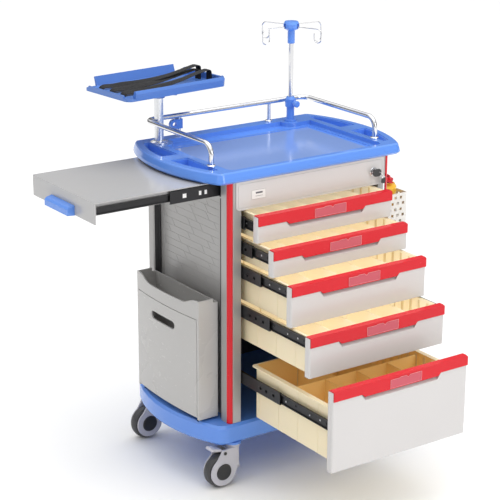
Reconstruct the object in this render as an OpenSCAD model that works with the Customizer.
// Ward crash cart with five drawers, a pull-out side shelf, a waste bin,
// a turning monitor platform, a rising infusion pole and four castors.
// Millimetres. X runs across the cart, Y to its back, Z up from the floor.

/* [Cabinet] */
// Width of the cabinet across its corner posts
cabinet_w = 558; // [556:1:560]
// Depth of the cabinet across its corner posts
cabinet_d = 438; // [436:1:440]
// Height of the base moulding's top above the floor
base_top = 190; // [184:1:196]
// Height of one drawer unit; the drawers take 2, 2, 3, 3 and 6 of them
drawer_unit = 39; // [38.5:0.25:40]
// Height of the plain panel over the drawers
fascia_h = 81; // [79:1:84]

/* [Top tray and base] */
// Half the tray's depth, front to back
tray_half_y = 230; // [227:1:234]
// Half the tray's width at the middle of its bowed ends
tray_half_x = 372; // [366:1:378]
// Thickness of the tray
tray_h = 31.4; // [30:0.2:34]
// Depth of the basin in the tray
basin_depth = 13; // [9:1:15]
// Thickness of the base moulding
base_h = 57; // [52:1:60]

/* [Rail and poles] */
// Height of the guard rail's middle over the tray
rail_rise = 61; // [50:1:70]
// Radius of the guard rail's tube
rail_r = 7.5; // [6.5:0.25:8]
// Height of the infusion pole's head over the tray, lowered
pole_rise = 238; // [200:2:280]
// Height of the platform's underside over the tray
platform_rise = 155; // [120:5:180]
// Radius of the platform's post
post_r = 13.5; // [12.5:0.5:15]

/* [Drawers and shelf] */
// How far each drawer stands open, from the top drawer down
drawer_open = [78, 150, 235, 320, 424];
// Thickness of the drawer walls
tub_wall = 2.5; // [2:0.25:3.5]
// How far the side shelf stands open
shelf_open = 390; // [300:5:390]

/* [Castors] */
// Radius of the wheels
wheel_r = 50; // [48:0.5:51]
// Distance from a castor's upright axis to its wheel's middle
castor_trail = 43; // [40:1:45]

/* [Hidden] */
$fn = 48;
gap = 0.4;                      // between pieces that move past each other
running = 0.06;                 // radial play of a pin in its bore
side_face = cabinet_w / 2;      // outer face of the posts, either side
front_face = -cabinet_d / 2;    // outer face of the posts, front
post_w = 40;                    // posts, across
post_d = 44.5;                  // posts, front to back
post_in_x = side_face - post_w;
post_in_y = cabinet_d / 2 - post_d;
stack_z = base_top + 3;         // bottom of the lowest drawer front
fascia_z = stack_z + 16 * drawer_unit;
tray_z = fascia_z + fascia_h + 0.6;
tray_top = tray_z + tray_h;
bow_r = 477;                    // radius of the bowed ends
fascia_y = front_face - 2.6;    // front plane of the panel over the drawers
front_y = front_face + 7;       // front plane of the closed drawers
front_half = post_in_x - 5;     // half the width of a drawer front
front_t = 20;                   // thickness of a drawer front
tub_half = 220;                 // half the width of a drawer tub
tub_len = 352;                  // drawer tub, front to back
slide_out = post_in_x - 0.4;    // outer face of the drawer slides
slide_len = 392;                // length of a slide member
// unit counts, starting heights, tub floors, tub rims and slide heights
units = [2, 2, 3, 3, 6];
unit_from = [14, 12, 9, 6, 0];
tub_low = [4, 4, 5, 5, 25];
tub_high = [73, 72.5, 111, 111, 182];
slide_at = [42, 47, 93, 95, 130];
columns = [7, 7, 5, 5, 4];
back_columns = [0, 0, 5, 5, 3];
divide_at = 0.5;
// castor upright axes
castor_x = 257;
castor_y = 203;
wheel_half = 15;
leg_in = 17;
leg_t = 5;
crown_z = 118;
pedal_z = 107;
// infusion pole and platform post positions
pole_x = 212;
pole_y = 176;
pole_r = 7.75;
pole_low = 500;
post_x = -263;
post_y = 165;
platform_z = tray_top + platform_rise;
platform_half_x = 176;
platform_half_y = 108;
platform_turn = 5.5;            // how far the platform stands turned
platform_at = [9, 24];          // the platform's middle from its post
platform_reach = 156;           // how far it reaches behind its post
strap_at = [-52, 0, 52];
rail_x = 285;
rail_y = 203;
rail_front = -141;
rail_bend = 30;
rail_z = tray_top + rail_rise;
stud_x = [-172, 150];           // the rail's two studs, left and right
// side shelf
shelf_end = -277.4 - shelf_open;
shelf_half = 172.5;
shelf_top = tray_z - 3.8;
shelf_slide_z = shelf_top - 24.8;
shelf_slide_y = 158;
// waste bin
bin_half = 165;
bin_back = -281;
bin_low = base_top + 9;
bin_high = 557;
bin_bow = 1366;
bin_bow_x = -355 + bin_bow;
door_half = 156;
door_low = 205.5;
door_high = 500.6;
door_hinge_x = -339;
door_hinge_z = 213;
// sharps basket
basket_x = [283, 386];
basket_y = [-180, -55];
basket_z = [664, 761];
jar_x = 334.5;
jar_y = -117.5;
jar_r = 46.5;
jar_h = 124;
lid_pin = 42.4;
// lock
lock_x = 219;
lock_z = fascia_z + 40;
// the frame's origin is under the middle of the whole object
frame_x = -(shelf_end - 22.6 + basket_x[1]) / 2;
frame_y = -(front_y - drawer_open[4] - 2 + post_y + platform_reach) / 2;

blue = [0.16, 0.33, 0.80];
red = [0.80, 0.03, 0.06];
warm_grey = [0.80, 0.78, 0.76];
mid_grey = [0.52, 0.51, 0.50];
cream = [0.90, 0.80, 0.55];
black = [0.03, 0.03, 0.03];
steel = [0.75, 0.75, 0.77];

// Shared shapes

module placed() {
    translate([frame_x, frame_y, 0]) children();
}

module both_sides() {
    children();
    mirror([1, 0, 0]) children();
}

module four_corners() {
    both_sides() {
        children();
        mirror([0, 1, 0]) children();
    }
}

module block(x, y, z) {
    translate([x[0], y[0], z[0]]) cube([x[1] - x[0], y[1] - y[0], z[1] - z[0]]);
}

// A rectangle with rounded corners between two corner points
module round_rect(x, y, r) {
    translate([x[0] + r, y[0]]) square([x[1] - x[0] - 2 * r, y[1] - y[0]]);
    translate([x[0], y[0] + r]) square([x[1] - x[0], y[1] - y[0] - 2 * r]);
    for (cx = [x[0] + r, x[1] - r], cy = [y[0] + r, y[1] - r])
        translate([cx, cy]) circle(r);
}

// A bent wire or tube, drawn as a chain: each piece carries the next one
module straight(r, length) {
    cylinder(r = r, h = length);
    translate([0, 0, length]) children();
}

module bend(r, bend_r, angle) {
    translate([bend_r, 0, 0]) rotate([90, 0, 180])
        rotate_extrude(angle = angle) translate([bend_r, 0]) circle(r);
    translate([bend_r - bend_r * cos(angle), 0, bend_r * sin(angle)])
        rotate([0, angle, 0]) children();
}

// A body of revolution from its edge profile, given as [inset, height] steps
module turned_edge(r, steps) {
    low = steps[0][1];
    high = steps[len(steps) - 1][1];
    rotate_extrude() polygon(concat(
        [[0, low]], [for (s = steps) [r - s[0], s[1]]], [[0, high]]));
}

// A slab with bowed ends, rounded upright corners and a shaped edge
module bowed_slab(half_x, half_y, corner_r, steps) {
    bow_c = bow_r - half_x;
    low = steps[0][1];
    high = steps[len(steps) - 1][1];
    cy = half_y - corner_r;
    cx = sqrt(pow(bow_r - corner_r, 2) - cy * cy) - bow_c;
    reach = corner_r + 8;
    tilt = asin(cy / (bow_r - corner_r));
    difference() {
        intersection() {
            translate([bow_c, 0, 0]) turned_edge(bow_r, steps);
            translate([-bow_c, 0, 0]) turned_edge(bow_r, steps);
            rotate([90, 0, 90]) linear_extrude(3 * half_x, center = true)
                polygon(concat(
                    [for (s = steps) [half_y - s[0], s[1]]],
                    [for (k = [len(steps) - 1:-1:0]) [steps[k][0] - half_y, steps[k][1]]]));
        }
        // the corner stands a hair proud, so that the surfaces cross cleanly
        four_corners() translate([cx + 0.04, cy + 0.04, 0]) difference() {
            translate([0, 0, low - 1]) linear_extrude(high - low + 2) polygon([
                [0, 0], [0, reach],
                [2.4 * corner_r * cos(45 + tilt / 2), 2.4 * corner_r * sin(45 + tilt / 2)],
                [reach * cos(tilt), reach * sin(tilt)]]);
            turned_edge(corner_r, steps);
        }
    }
}

// Base and cabinet

module base() placed() color(blue) {
    low = base_top - base_h;
    top_edge = base_top - 7;
    difference() {
        bowed_slab(tray_half_x - 6, tray_half_y - 2, 40,
            [[5, low], [0, low + 6], [0, top_edge], [7, base_top]]);
        // hollow cells under the deck, with stiffening ribs between them
        for (x = [-216:144:216], y = [-105, 105])
            translate([x, y, low - 1])
                linear_extrude(base_h - 5) round_rect([-68, 68], [-72, 72], 8);
        both_sides() block([296, 326], [-120, 120], [low - 1, base_top - 6]);
        for (x = [-130, 130])
            block([x - 108, x + 108], [-24, 24], [low - 1, base_top - 6]);
        // shallow channel below the waste bin
        block([-338, -288], [-150, 150], [base_top - 5, base_top + 1]);
        four_corners() translate([castor_x, castor_y, low - 1])
            cylinder(r = 6 + running, h = 24);
    }
    // mounting pads for the castors
    four_corners() translate([castor_x, castor_y, 0]) difference() {
        translate([0, 0, crown_z + 8.8]) cylinder(r = 27, h = low - crown_z - 8.6);
        translate([0, 0, crown_z]) cylinder(r = 6 + running, h = 20);
    }
}

module corner_posts() placed() color(mid_grey) four_corners()
    translate([0, 0, base_top + 0.2]) linear_extrude(tray_z - base_top - 0.4) {
        wall = 3;
        chamfer = 15;
        difference() {
            polygon([
                [post_in_x, post_in_y], [side_face - 5, post_in_y],
                [side_face, post_in_y + 5], [side_face, -front_face - chamfer],
                [side_face - chamfer, -front_face], [post_in_x, -front_face]]);
            polygon([
                [post_in_x + wall, post_in_y + wall],
                [side_face - wall - 4, post_in_y + wall],
                [side_face - wall, post_in_y + wall + 4],
                [side_face - wall, -front_face - chamfer - 2.5],
                [side_face - chamfer - 2.5, -front_face - wall],
                [post_in_x + wall, -front_face - wall]]);
            // groove that takes the panels
            translate([side_face - 30.3, post_in_y - 1]) square([6.6, 3]);
        }
    }

module corner_strips() placed() color(red) both_sides()
    translate([side_face - 7.5, front_face + 7.5, base_top + 0.4])
        rotate([0, 0, -45]) linear_extrude(tray_z - base_top - 0.8) {
            translate([0.1, -8.5]) square([2.4, 17]);
            intersection() {
                translate([-9.4, 0]) circle(15);
                translate([2.4, -8.5]) square([6, 17]);
            }
        }

module side_panels() placed() color(mid_grey) {
    shelf_slot = shelf_top - 46;
    x = side_face - 30;
    mirror([1, 0, 0]) panel_with_frame(x, shelf_slot);
    panel_with_frame(x, tray_z - 0.6);
}

// One pressed side panel: a flat sheet with a raised border
module panel_with_frame(x, top) {
    reach = post_in_y + 1.6;
    difference() {
        block([x, x + 6], [-reach, reach], [base_top + 0.4, top]);
        block([x + 4, x + 7], [-reach + 14, reach - 14], [base_top + 20, top - 16]);
        block([x - 1, x + 2], [-reach + 20, reach - 20], [base_top + 26, top - 22]);
    }
}

module back_panel() placed() color(mid_grey) {
    y = -front_face - 14;
    difference() {
        block([-post_in_x + 0.2, post_in_x - 0.2], [y, y + 6], [base_top + 0.4, tray_z - 0.4]);
        block([-post_in_x + 16, post_in_x - 16], [y + 4, y + 7], [base_top + 20, tray_z - 20]);
        for (z = [tray_z - 90:12:tray_z - 42])
            block([-90, 90], [y - 1, y + 7], [z, z + 5]);
    }
    for (x = [-150, -50, 50, 150])
        block([x - 6, x + 6], [y + 4, y + 5.6], [base_top + 60, tray_z - 130]);
}

module fascia() placed() color(warm_grey) {
    wide = side_face - 22;
    y = fascia_y;
    plate = front_face - fascia_y - 0.3;
    inside = post_in_x - 0.8;
    difference() {
        union() {
            translate([0, y + plate, 0]) rotate([90, 0, 0]) linear_extrude(plate) {
                round_rect([-wide, wide], [fascia_z, tray_z - 20], 12);
                translate([-wide, fascia_z + 20]) square([2 * wide, fascia_h - 20.4]);
            }
            block([-inside, inside], [y + plate - 0.5, y + 24], [fascia_z, tray_z - 0.4]);
        }
        block([-inside + 3, inside - 3], [y + plate, y + 25], [fascia_z + 3, tray_z]);
        // pressed line that frames the panel
        translate([0, y + 0.8, 0]) rotate([90, 0, 0]) linear_extrude(3) difference() {
            round_rect([-wide + 6, wide - 6], [fascia_z + 6, tray_z - 7], 8);
            round_rect([-wide + 7.2, wide - 7.2], [fascia_z + 7.2, tray_z - 8.2], 7);
        }
        translate([lock_x, y + 30, lock_z]) rotate([90, 0, 0])
            cylinder(r = 9 + running, h = 50);
    }
    // collar that holds the lock's plug
    translate([lock_x, y + 22, lock_z]) rotate([90, 0, 0]) difference() {
        cylinder(r = 12, h = 20);
        translate([0, 0, -1]) cylinder(r = 9 + running, h = 30);
    }
}

// Top tray

module lens(grow, depth) {
    bow_c = bow_r - tray_half_x;
    translate([0, 0, tray_top - depth]) linear_extrude(depth + 1) intersection() {
        translate([-bow_c, 0]) circle(bow_r - 31 + grow);
        translate([291 - grow, 28 - grow]) square([60, 150 + 2 * grow]);
    }
}

module top_tray() placed() color(blue) {
    floor_z = tray_top - basin_depth;
    inner = tray_half_y - 25;
    difference() {
        bowed_slab(tray_half_x, tray_half_y, 26,
            [[6, tray_z], [0, tray_z + 6], [1.5, tray_z + 14],
             [6, tray_top - 4], [9, tray_top]]);
        // basin with a shallow outer channel, cut round the two bosses
        difference() {
            translate([0, 0, floor_z]) linear_extrude(basin_depth + 1)
                round_rect([-266, 266], [-inner, inner - 24], 22);
            translate([pole_x, pole_y, floor_z - 1]) {
                cylinder(r = 34, h = basin_depth + 3);
                block([-30, 60], [0, 60], [0, basin_depth + 3]);
                block([0, 60], [-30, 60], [0, basin_depth + 3]);
            }
            translate([post_x, post_y, floor_z - 1]) cylinder(r = 40, h = basin_depth + 3);
        }
        translate([0, 0, floor_z - 2]) linear_extrude(3) difference() {
            round_rect([-252, 252], [-inner + 14, inner - 76], 14);
            round_rect([-244, 244], [-inner + 22, inner - 84], 10);
        }
        four_corners() {
            lens(3, 3);
            lens(0, 21);
        }
        // hollow underside
        block([-side_face + 20, side_face - 20], [-196, 150], [tray_z - 1, floor_z - 8]);
        both_sides() translate([0, 0, tray_z - 1]) linear_extrude(7) intersection() {
            translate([tray_half_x - bow_r, 0]) circle(bow_r - 8);
            translate([side_face + 9, -170]) square([90, 340]);
        }
        translate([pole_x, pole_y, tray_z - 1]) cylinder(r = pole_r + running, h = 60);
        // sockets for the rail, its two studs and the platform's post
        both_sides()
            translate([rail_x, rail_front, tray_top - 14]) cylinder(r = rail_r + 0.3, h = 20);
        for (x = stud_x)
            translate([x, rail_y, tray_top - 14]) cylinder(r = 6.3, h = 20);
        translate([post_x, post_y, tray_top - 10]) cylinder(r = post_r + 0.3, h = 20);
    }
}

module guard_rail() placed() color(steel) {
    low = tray_top - 13.7;
    upright = rail_z - rail_bend - low;
    translate([-rail_x, rail_front, low]) rotate([0, 0, 90])
        straight(rail_r, upright) bend(rail_r, rail_bend, 90)
        straight(rail_r, rail_y - rail_front - 2 * rail_bend) rotate([0, 0, -90])
        bend(rail_r, rail_bend, 90) straight(rail_r, 2 * (rail_x - rail_bend))
        bend(rail_r, rail_bend, 90) straight(rail_r, rail_y - rail_front - 2 * rail_bend)
        rotate([0, 0, 90]) bend(rail_r, rail_bend, 90) straight(rail_r, upright);
    for (x = stud_x) {
        translate([x, rail_y, low]) cylinder(r = 6, h = rail_z - low - 2);
        translate([x, rail_y, tray_top + 0.2]) collar(6.2, 11);
    }
    both_sides()
        translate([rail_x, rail_front, tray_top + 0.2]) collar(rail_r + 0.2, 12.5);
}

module collar(inner, outer) {
    rotate_extrude() polygon([
        [inner, 0], [outer, 0], [outer, 3], [outer - 2, 5], [inner, 5]]);
}

module rail_clamp() placed() color(blue) translate([stud_x[0], rail_y, tray_top + 23]) {
    difference() {
        union() {
            block([-8.5, 8.5], [-8.5, 8.5], [0, 29]);
            block([-19, -7], [-8.5, 2], [0, 29]);
            translate([-19, 2, 14.5]) rotate([90, 0, 0]) cylinder(r = 14.5, h = 10.5);
        }
        translate([0, 0, -1]) cylinder(r = 6.3, h = 40);
        translate([-19, 5, 14.5]) rotate([90, 0, 0]) cylinder(r = 6.5, h = 20);
    }
}

// Monitor platform

module platform_post() placed() color(steel) translate([post_x, post_y, 0]) {
    low = tray_top - 9.8;
    difference() {
        union() {
            translate([0, 0, low]) cylinder(r = post_r, h = platform_z - low - 6.6);
            translate([0, 0, tray_top + 0.2]) rotate_extrude() polygon([
                [0, 0], [post_r + 12, 0], [post_r + 12, 3], [post_r + 3, 7], [0, 7]]);
        }
        translate([0, 0, tray_top + 10]) cylinder(r = post_r - 2.5, h = platform_rise);
    }
    // spigot that the platform turns on
    translate([0, 0, platform_z - 26]) cylinder(r = post_r - 2.5, h = 19.4);
    translate([0, 0, platform_z - 7]) cylinder(r = 9, h = 15);
}

module platform() placed() color(blue) translate([post_x, post_y, platform_z])
    rotate([0, 0, platform_turn]) difference() {
        union() {
            translate([platform_at[0], platform_at[1], 0]) platform_tray();
            translate([0, 0, -22]) cylinder(r = post_r + 5, h = 23);
            for (a = [0:60:300]) rotate([0, 0, a]) block([post_r, 56], [-1.5, 1.5], [-12, 1]);
        }
        translate([0, 0, -23]) cylinder(r = post_r + 0.5, h = 17);
        translate([0, 0, -8]) cylinder(r = 9 + running, h = 20);
    }

// The tray of the platform with a lip along its front, one end and its back
module platform_tray() {
    hx = platform_half_x;
    hy = platform_half_y;
    high = 28;
    difference() {
        linear_extrude(7) round_rect([-hx, hx], [-hy, hy], 20);
        for (side = [-1, 1], y = strap_at)
            block([side * (hx - 22) - 2.5, side * (hx - 22) + 2.5],
                [y - 14, y + 14], [-1, 8]);
    }
    // rolled lip along the front
    rotate([90, 0, 90]) translate([0, 0, 26 - hx]) linear_extrude(2 * hx - 46)
        polygon([[-hy, 2], [-hy - 2, 20], [2 - hy, high], [8 - hy, high - 1],
            [14 - hy, 7], [14 - hy, 2]]);
    // the lip runs round one corner and along the end
    translate([hx - 20.5, 20 - hy, 2]) rotate([0, 0, -90])
        rotate_extrude(angle = 90) polygon([
            [6, 0], [6, 5], [12, high - 3], [18, high - 2], [22, 18], [20, 0]]);
    block([hx - 8, hx], [19.5 - hy, hy - 20], [2, high - 3]);
    // leaning lip along the back
    rotate([90, 0, 90]) translate([0, 0, 42 - hx]) linear_extrude(1.58 * hx + 6)
        polygon([[hy - 6, 3], [hy + 5, 33], [hy + 9, 31.5], [hy, 2]]);
    // low ledge at the other end
    block([-hx, 5 - hx], [24 - hy, hy - 24], [2, 16]);
}

// Infusion pole

module pole_sleeve() placed() color(blue) translate([pole_x, pole_y, tray_top + 0.2]) {
    difference() {
        union() {
            cylinder(r = 19, h = 5);
            cylinder(r = 12, h = 58);
            translate([0, 0, 44]) cylinder(r = 17, h = 24, $fn = 8);
            translate([0, 0, 68]) cylinder(r1 = 15, r2 = 11, h = 7);
            translate([0, -26, 56]) rotate([-90, 0, 0]) cylinder(r = 5, h = 12);
            translate([0, -30, 56]) rotate([-90, 0, 0]) cylinder(r = 9, h = 6);
        }
        translate([0, 0, -1]) cylinder(r = pole_r + running, h = 90);
    }
}

module infusion_pole() placed() color(steel) translate([pole_x, pole_y, 0]) {
    top = tray_top + pole_rise + 30;
    difference() {
        translate([0, 0, pole_low]) cylinder(r = pole_r, h = top - pole_low);
        translate([0, 0, pole_low + 4]) cylinder(r = pole_r - 1.5, h = top - pole_low);
    }
    hub = tray_top + pole_rise + 51;
    // heading, height of the arm, its length and the length of the drop, one hook each
    for (hook = [[177, 0, 66, 20], [-3, 5, 72, 34], [114, 5, 66, 22], [-66, 0, 68, 14]])
        rotate([0, 0, hook[0]]) translate([20, 0, hub + hook[1]]) rotate([0, 90, 0])
            rotate([0, 0, 180]) straight(2, hook[2]) rotate([0, 0, 180])
            bend(2, 15, 90) straight(2, hook[3]) bend(2, 12, 180) straight(2, 14);
}

module infusion_head() placed() color(blue) translate([pole_x, pole_y, tray_top + pole_rise]) {
    difference() {
        union() {
            rotate_extrude() polygon([
                [0, 0], [10, 0], [11, 2], [11, 38], [20, 43], [24, 48],
                [24, 58], [20, 66], [0, 67]]);
        }
        translate([0, 0, -1]) cylinder(r = pole_r + 0.3, h = 31.4);
        for (a = [177, -3, 114, -66]) rotate([0, 0, a]) {
            block([17, 30], [-5, 5], [46, 60]);
        }
    }
}

// Drawers

function low_z(k) = stack_z + unit_from[k] * drawer_unit;
function top_z(k) = low_z(k) + units[k] * drawer_unit - 2.5;
function face_y(k) = front_y - drawer_open[k];

module drawer_front(k) placed() color(warm_grey) translate([0, face_y(k), 0]) {
    w = front_half;
    t = top_z(k);
    difference() {
        translate([0, 0, low_z(k)]) linear_extrude(t - low_z(k) - 3.2) {
            round_rect([-w, w], [0, front_t], 5);
            translate([-w, 8]) square([2 * w, front_t - 8]);
        }
        // seat of the red handle and the finger scoop below it
        block([-w + 2.5, w + 1], [-1, 4], [t - 29, t]);
        intersection() {
            rotate([90, 0, 90]) linear_extrude(300, center = true)
                polygon([[-1, t - 48], [13, t - 38], [13, t - 15], [-1, t - 15]]);
            translate([0, 16, 0]) rotate([90, 0, 0]) linear_extrude(18) polygon([
                [-150, t - 15], [-150, t - 29], [-138, t - 29], [-124, t - 48],
                [124, t - 48], [138, t - 29], [150, t - 29], [150, t - 15]]);
        }
        // hollow back
        block([-w + 3, w - 3], [15.5, front_t + 1], [low_z(k) + 4, t - 7]);
    }
}

module drawer_handle(k) placed() color(red) translate([0, face_y(k), 0]) {
    w = front_half;
    t = top_z(k);
    translate([0, 3.8, 0]) rotate([90, 0, 0]) linear_extrude(5.8) polygon([
        [-w + 3, t - 28], [-137, t - 28], [-128, t - 36], [128, t - 36],
        [137, t - 28], [w, t - 28], [w, t - 3], [w - 3, t], [-w + 3, t]]);
    block([-w + 3, w - 0.5], [3.8, front_t], [t - 3, t]);
}

module drawer_tub(k) placed() color(cream) translate([0, face_y(k) + front_t + 0.4, low_z(k)]) {
    z = [tub_low[k], tub_high[k]];
    flange = k == 4 ? 12 : 5.4;
    inner = tub_half - tub_wall;
    difference() {
        union() {
            translate([0, 0, z[0]]) linear_extrude(z[1] - z[0])
                round_rect([-tub_half, tub_half], [0, tub_len], 9);
            translate([0, 0, z[1] - 3]) linear_extrude(3)
                round_rect([-tub_half - flange, tub_half + flange], [0, tub_len + 3], 9);
        }
        translate([0, 0, z[0] + 3]) linear_extrude(z[1])
            round_rect([-inner, inner], [tub_wall, tub_len - tub_wall], 7);
    }
    // paired ribs that the front dividers drop between
    pitch = 2 * inner / columns[k];
    for (n = [1:columns[k] - 1], side = [-1, 1]) {
        x = -inner + n * pitch + side * 2.6;
        block([x - 1, x + 1], [tub_wall - 0.5, tub_wall + 2.5], [z[0] + 2, z[1] - 6]);
    }
    // dividers, standing clear of the walls and of each other
    high = z[1] - 9;
    split = back_columns[k] > 0 ? divide_at * tub_len : tub_len - tub_wall;
    dividers(columns[k], inner, [tub_wall + 0.6, split - 1.3], [z[0] + 3.3, high]);
    if (back_columns[k] > 0) {
        block([-inner + 0.6, inner - 0.6], [split - 0.9, split + 0.9], [z[0] + 3.3, high]);
        dividers(back_columns[k], inner, [split + 1.3, tub_len - tub_wall - 0.6],
            [z[0] + 3.3, high]);
    }
}

module dividers(count, inner, y, z) {
    pitch = 2 * inner / count;
    for (n = [1:count - 1])
        block([-inner + n * pitch - 0.9, -inner + n * pitch + 0.9], y, z);
}

// A channel seen end on: web at depth `from`, lips reaching to depth `to`
module channel(from, to, web, half_h, lip) {
    square_at(from, from + web, -half_h, half_h);
    square_at(min(from, to), max(from + web, to), half_h - lip, half_h);
    square_at(min(from, to), max(from + web, to), -half_h, -half_h + lip);
}

module square_at(x0, x1, y0, y1) {
    translate([x0, y0]) square([x1 - x0, y1 - y0]);
}

// Lays a slide section, drawn as depth and height, along Y on both sides
module slide_pair(outer_x, z, from_y, length) {
    both_sides() translate([outer_x, from_y, z]) rotate([90, 0, 180])
        linear_extrude(length) children();
}

module fixed_section() channel(0, 7.5, 1.4, 21, 2);
module middle_section() channel(3.6, 9.4, 1.5, 17.6, 1.8);
module inner_section(half_h = 13.8) channel(10.4, 6.2, 1.5, half_h, 1.8);

module slide_guides() placed() color(black) {
    for (k = [0:4]) {
        z = low_z(k) + slide_at[k];
        slide_pair(slide_out, z, front_y + front_t + 1, slide_len) fixed_section();
        // brackets out to the side panels
        both_sides() for (y = [-150, 0, 150])
            block([slide_out - 0.6, side_face - 30], [y - 12, y + 12], [z - 14, z + 14]);
    }
    for (side = [-1, 1]) scale_y(side) {
        translate([-side_face + 5.4, shelf_slide_y + 12.4, shelf_slide_z])
            rotate([90, 0, 90]) linear_extrude(slide_len) mirror([1, 0]) fixed_section();
        for (x = [-200, 0, 80])
            block([x - 10, x + 10], [shelf_slide_y + 11.8, 205], [shelf_slide_z - 12, shelf_slide_z + 12]);
    }
}

module scale_y(side) {
    mirror([0, side < 0 ? 1 : 0, 0]) children();
}

module drawer_slide(k) placed() color(black) {
    z = low_z(k) + slide_at[k];
    y = front_y + front_t + 2 - drawer_open[k] / 2;
    difference() {
        slide_pair(slide_out, z, y, slide_len - 12) middle_section();
        for (hole = [26, 60, 88, 300])
            block([-slide_out - 1, slide_out + 1], [y + hole, y + hole + 9], [z - 4, z + 4]);
    }
}

module drawer_runner(k) placed() color(black) {
    z = low_z(k) + slide_at[k];
    y = face_y(k) + front_t + 1;
    slide_pair(slide_out, z, y, slide_len - 16) inner_section();
    both_sides() for (hole = [14, 150, 300])
        translate([slide_out - 10.6, y + hole, z]) rotate([0, 90, 0])
            cylinder(r = 3.4, h = 1.9);
}

// Side shelf

module side_shelf() placed() color(warm_grey) {
    back = shelf_end + 402;
    low = shelf_top - 58.2;
    difference() {
        union() {
            block([shelf_end, back], [-shelf_half, shelf_half], [shelf_top - 2.5, shelf_top]);
            block([shelf_end, shelf_end + 3], [-shelf_half, shelf_half], [low, shelf_top]);
            for (side = [-1, 1]) scale_y(side)
                block([shelf_end, back], [shelf_slide_y - 2, shelf_slide_y],
                    [shelf_top - 38, shelf_top]);
        }
        for (side = [-1, 1]) scale_y(side)
            block([shelf_end + 3, shelf_end + 15], [shelf_slide_y - 3, shelf_half + 1],
                [low - 1, shelf_top - 38]);
    }
    // folded return behind the end plate
    block([shelf_end, shelf_end + 12], [-shelf_slide_y + 4, shelf_slide_y - 4], [low, low + 2]);
    for (side = [-1, 1]) scale_y(side)
        translate([shelf_end + 12, shelf_slide_y + 1.6, shelf_slide_z])
            rotate([90, 0, 90]) linear_extrude(380) translate([10.8, 0]) mirror([1, 0])
                inner_section(10.5);
}

module shelf_handle() placed() color(blue) {
    low = shelf_top - 59;
    difference() {
        translate([0, 64, 0]) rotate([90, 0, 0]) linear_extrude(128) polygon([
            [shelf_end - 0.3, low + 28], [shelf_end - 17, low + 24], [shelf_end - 22.6, low + 18],
            [shelf_end - 22.6, low + 2], [shelf_end - 0.3, low]]);
        translate([0, 60, 0]) rotate([90, 0, 0]) linear_extrude(120) polygon([
            [shelf_end - 3.3, low + 24], [shelf_end - 16, low + 20.6], [shelf_end - 19.4, low + 16],
            [shelf_end - 19.4, low - 1], [shelf_end - 3.3, low - 1]]);
    }
}

module shelf_runners() placed() color(black) {
    x = shelf_end + 15 + (shelf_open - 390) / 2 + 218.4;
    for (side = [-1, 1]) scale_y(side) difference() {
        translate([x, shelf_slide_y + 12.4, shelf_slide_z]) rotate([90, 0, 90])
            linear_extrude(380) mirror([1, 0]) middle_section();
        for (hole = [[40, 12], [92, 8], [110, 8]])
            block([x + hole[0], x + hole[0] + hole[1]], [shelf_slide_y, shelf_half],
                [shelf_slide_z - 6, shelf_slide_z + 6]);
    }
}

// Waste bin

function dip(y) = 0.5 - 0.5 * cos(180 * max(0, min(1, (148 - abs(y)) / 60)));

module bin_outline(grow) {
    intersection() {
        translate([bin_bow_x, 0]) circle(bin_bow + grow, $fn = 240);
        round_rect([-362, bin_back + 30], [-bin_half - grow, bin_half + grow], 12 + grow);
        translate([-370, -200]) square([370 + bin_back + grow, 400]);
    }
}

module bin_housing() placed() color(mid_grey) {
    difference() {
        translate([0, 0, bin_low]) linear_extrude(bin_high - bin_low) bin_outline(0);
        difference() {
            translate([0, 0, bin_low + 4]) linear_extrude(bin_high) bin_outline(-4);
            block([-400, -200], [-200, 200], [bin_low - 1, bin_low + 4]);
        }
        // doorway in the front
        block([-380, -320], [-door_half - 1, door_half + 1], [bin_low - 1, door_high + 1]);
        // dipping top edge
        rotate([90, 0, 90]) translate([0, 0, -400]) linear_extrude(105) polygon(concat(
            [for (y = [-175:12.5:175]) [y, bin_high - 1 - 18 * dip(y)]],
            [[175, bin_high + 9], [-175, bin_high + 9]]));
        block([-296, -270], [-200, 200], [bin_high - 12, bin_high + 9]);
        for (side = [-1, 1]) scale_y(side)
            translate([door_hinge_x, door_half, door_hinge_z]) rotate([-90, 0, 0])
                cylinder(r = 3 + running, h = 12);
    }
    // struts that carry the bin on the cabinet's side
    for (z = [230, 500], side = [-1, 1]) scale_y(side)
        block([bin_back - 1, -side_face + 24.2], [96, 120], [z, z + 30]);
}

module bin_door() placed() color(mid_grey) {
    difference() {
        translate([0, 0, door_low]) linear_extrude(door_high - door_low) intersection() {
            difference() {
                translate([bin_bow_x, 0]) circle(bin_bow + 1, $fn = 240);
                translate([bin_bow_x, 0]) circle(bin_bow - 4, $fn = 240);
            }
            translate([-370, -door_half]) square([60, 2 * door_half]);
        }
        // pull slot
        block([-380, -320], [-42, 60], [440, 464]);
        for (y = [-42, 60]) translate([-380, y, 452]) rotate([0, 90, 0])
            cylinder(r = 12, h = 60);
    }
    // bucket that tips out with the door
    difference() {
        block([-347, -291], [-146, 146], [door_low + 4, 430]);
        block([-344, -294], [-143.5, 143.5], [door_low + 7, 440]);
    }
    for (side = [-1, 1]) scale_y(side)
        translate([door_hinge_x, 145, door_hinge_z]) rotate([-90, 0, 0]) cylinder(r = 3, h = 19);
}

// Sharps basket and jar

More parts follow.
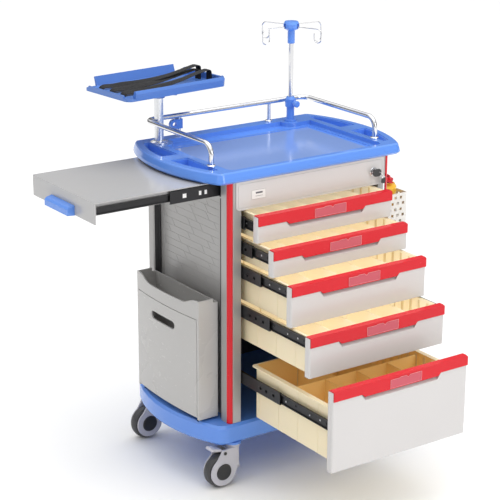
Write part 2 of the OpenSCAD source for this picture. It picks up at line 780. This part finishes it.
module sharps_basket() placed() color(warm_grey) {
    x = basket_x;
    y = basket_y;
    z = basket_z;
    difference() {
        translate([0, 0, z[0]]) linear_extrude(z[1] - z[0]) round_rect(x, y, 6);
        translate([0, 0, z[0] + 2.5]) linear_extrude(z[1]) round_rect(
            [x[0] + 2.5, x[1] - 2.5], [y[0] + 2.5, y[1] - 2.5], 4);
        for (row = [0:4], column = [0:3]) {
            shift = row % 2 == 0 ? 0 : 9;
            bottom = z[0] + 8 + row * 18;
            left = x[0] + 14 + column * 20 + shift;
            if (left < x[1] - 15)
                block([left, left + 8], [y[0] - 1, y[0] + 4], [bottom, bottom + 8]);
            if (left < x[1] - 15)
                block([x[1] - 4, x[1] + 1], [left - x[0] + y[0], left - x[0] + y[0] + 8],
                    [bottom, bottom + 8]);
        }
    }
    block([side_face - 24.2, x[0] + 1], [-150, -85], [z[0] + 20, z[0] + 24]);
    block([side_face - 24.2, x[0] + 1], [-150, -85], [z[1] - 12, z[1] - 8]);
}

module sharps_jar() placed() color([0.95, 0.68, 0.08]) translate([jar_x, jar_y, basket_z[0] + 3]) {
    rotate_extrude() polygon([
        [0, 0], [jar_r - 5, 0], [jar_r - 3, 3], [jar_r, 106], [jar_r - 6, 115],
        [30, 117], [30, jar_h], [27.5, jar_h], [27.5, 114.6], [jar_r - 8, 112.6],
        [jar_r - 2.5, 104], [jar_r - 5.5, 4.5], [jar_r - 7, 2.5], [0, 2.5]]);
    // cheeks and pin that the lid hinges on
    both_sides() block([9.8, 12.6], [37, lid_pin + 3.6], [108, jar_h + 5.5]);
    translate([-10, lid_pin, jar_h + 2.1]) rotate([0, 90, 0]) cylinder(r = 2, h = 20);
}

module sharps_lid() placed() color(red) translate([jar_x, jar_y, basket_z[0] + 3.6 + jar_h]) {
    difference() {
        union() {
            cylinder(r = 36, h = 3);
            translate([0, 0, 3]) rotate_extrude() polygon([
                [0, 0], [31, 0], [27, 9], [0, 9]]);
        }
        translate([0, 0, 7]) cylinder(r = 22, h = 6);
    }
    block([-7, 7], [-48, -30], [0, 3]);
    // arm with the eye that turns on the jar's pin
    difference() {
        union() {
            block([-9.4, 9.4], [33, lid_pin - 1], [0, 3]);
            translate([-9.4, lid_pin, 1.5]) rotate([0, 90, 0]) cylinder(r = 3.6, h = 18.8);
        }
        translate([-10, lid_pin, 1.5]) rotate([0, 90, 0]) cylinder(r = 2 + running, h = 20);
    }
}

// Lock

module lock_key() placed() color(black) translate([lock_x, fascia_y, lock_z]) {
    rotate([90, 0, 0]) {
        translate([0, 0, -16]) cylinder(r = 9, h = 17);
        translate([0, 0, 1]) cylinder(r = 7, h = 2);
        translate([0, 0, 2]) linear_extrude(12) round_rect([-5, 5], [-2, 2], 1);
    }
    difference() {
        translate([0, -13, 0]) rotate([90, 0, 0]) linear_extrude(3.4)
            round_rect([-12, 16], [-11, 11], 9);
        translate([11, -12, 0]) rotate([90, 0, 0]) cylinder(r = 2.6, h = 6);
    }
}

module spare_key() placed() color(black) translate([lock_x + 11, fascia_y - 14.7, lock_z]) {
    tilt = 40;
    ring_r = 11.5;
    translate([ring_r * sin(tilt), 0, -ring_r * cos(tilt)]) rotate([0, 90 - tilt, 0])
        rotate_extrude() translate([ring_r, 0]) circle(0.9);
    translate([2 * ring_r * sin(tilt), 1.1, -2 * ring_r * cos(tilt)]) rotate([90, 0, 0]) {
        linear_extrude(2.2) difference() {
            round_rect([-7.5, 7.5], [-17, 4], 5);
            circle(1.8);
        }
        linear_extrude(2.2) polygon([
            [-2.6, -16.5], [2.6, -16.5], [2.6, -38], [0, -41], [-2.6, -38]]);
    }
}

// Castors

module castor_fork(x, y) placed() color(warm_grey) translate([x, y, 0]) difference() {
    union() {
        for (side = [-1, 1]) scale_y(side)
            translate([0, leg_in + leg_t, 0]) rotate([90, 0, 0]) linear_extrude(leg_t) {
                translate([-castor_trail, wheel_r]) circle(wheel_r - 8);
                polygon([[8, crown_z - 1], [8, 66], [-4, 36], [-castor_trail, 50],
                    [-castor_trail - 36, 72], [-castor_trail - 18, 92],
                    [-castor_trail - 8, 108], [-castor_trail - 4, crown_z - 1]]);
            }
        block([-castor_trail + 14, 8], [-leg_in - leg_t, leg_in + leg_t],
            [wheel_r * 2 + 12, crown_z]);
        // mudguard over the wheel
        translate([-castor_trail, leg_in + 0.5, wheel_r]) rotate([90, 0, 0])
            rotate_extrude(angle = 78) translate([wheel_r + 3, 0])
                square([4, 2 * leg_in + 1]);
        translate([0, 0, crown_z - 1]) cylinder(r = 22, h = 9);
        translate([0, 0, crown_z - 1]) cylinder(r = 6, h = 20);
    }
    axle_bore(-castor_trail, wheel_r, 4);
    axle_bore(-castor_trail + 4, pedal_z, 3);
}

module axle_bore(x, z, r) {
    translate([x, 40, z]) rotate([90, 0, 0]) cylinder(r = r + running, h = 80);
}

module castor_wheel(x, y) placed() color(black) translate([x - castor_trail, y, wheel_r]) {
    rotate([90, 0, 0]) {
        rotate_extrude() polygon([
            [0, -12], [20, -12], [20, -9], [36, -9], [38, -wheel_half + 1],
            [wheel_r - 6, -wheel_half], [wheel_r - 1.5, -wheel_half + 5], [wheel_r, 0],
            [wheel_r - 1.5, wheel_half - 5], [wheel_r - 6, wheel_half],
            [38, wheel_half - 1], [36, 9], [20, 9], [20, 12], [0, 12]]);
        cylinder(r = 4, h = 2 * (leg_in + leg_t) + 2, center = true);
        for (side = [0, 1]) mirror([0, 0, side])
            translate([0, 0, leg_in + leg_t + gap]) cylinder(r1 = 25, r2 = 22.5, h = 2.6);
    }
}

module castor_pedal(x, y) placed() color(mid_grey) translate([x - castor_trail + 4, y, pedal_z]) {
    rotate([90, 0, 0]) cylinder(r = 3, h = 2 * (leg_in + leg_t) + 3, center = true);
    rotate([90, 0, 0]) linear_extrude(30, center = true) polygon([
        [-3, -3.5], [3, -3.5], [3, 3], [-9, 12], [-38, 19], [-44, 14], [-40, 11.5], [-12, 6]]);
    for (side = [0, 1]) mirror([0, side, 0])
        translate([0, leg_in + leg_t + 1.9, 0]) rotate([90, 0, 0]) cylinder(r = 5, h = 1.5);
}

base();
corner_posts();
corner_strips();
side_panels();
back_panel();
top_tray();
fascia();
slide_guides();
guard_rail();
rail_clamp();
platform_post();
pole_sleeve();
bin_housing();
sharps_basket();
bin_door();
platform();
infusion_pole();
infusion_head();
side_shelf();
shelf_handle();
shelf_runners();
sharps_jar();
sharps_lid();
lock_key();
spare_key();
drawer_front(0);  // front_1
drawer_front(1);  // front_2
drawer_front(2);  // front_3
drawer_front(3);  // front_4
drawer_front(4);  // front_5
drawer_handle(0);  // handle_1
drawer_handle(1);  // handle_2
drawer_handle(2);  // handle_3
drawer_handle(3);  // handle_4
drawer_handle(4);  // handle_5
drawer_tub(0);  // tub_1
drawer_tub(1);  // tub_2
drawer_tub(2);  // tub_3
drawer_tub(3);  // tub_4
drawer_tub(4);  // tub_5
drawer_slide(0);  // slide_1
drawer_slide(1);  // slide_2
drawer_slide(2);  // slide_3
drawer_slide(3);  // slide_4
drawer_slide(4);  // slide_5
drawer_runner(0);  // runner_1
drawer_runner(1);  // runner_2
drawer_runner(2);  // runner_3
drawer_runner(3);  // runner_4
drawer_runner(4);  // runner_5
castor_fork(-castor_x, -castor_y);  // fork_fl
castor_fork(castor_x, -castor_y);  // fork_fr
castor_fork(-castor_x, castor_y);  // fork_rl
castor_fork(castor_x, castor_y);  // fork_rr
castor_wheel(-castor_x, -castor_y);  // wheel_fl
castor_wheel(castor_x, -castor_y);  // wheel_fr
castor_wheel(-castor_x, castor_y);  // wheel_rl
castor_wheel(castor_x, castor_y);  // wheel_rr
castor_pedal(-castor_x, -castor_y);  // pedal_fl
castor_pedal(castor_x, -castor_y);  // pedal_fr
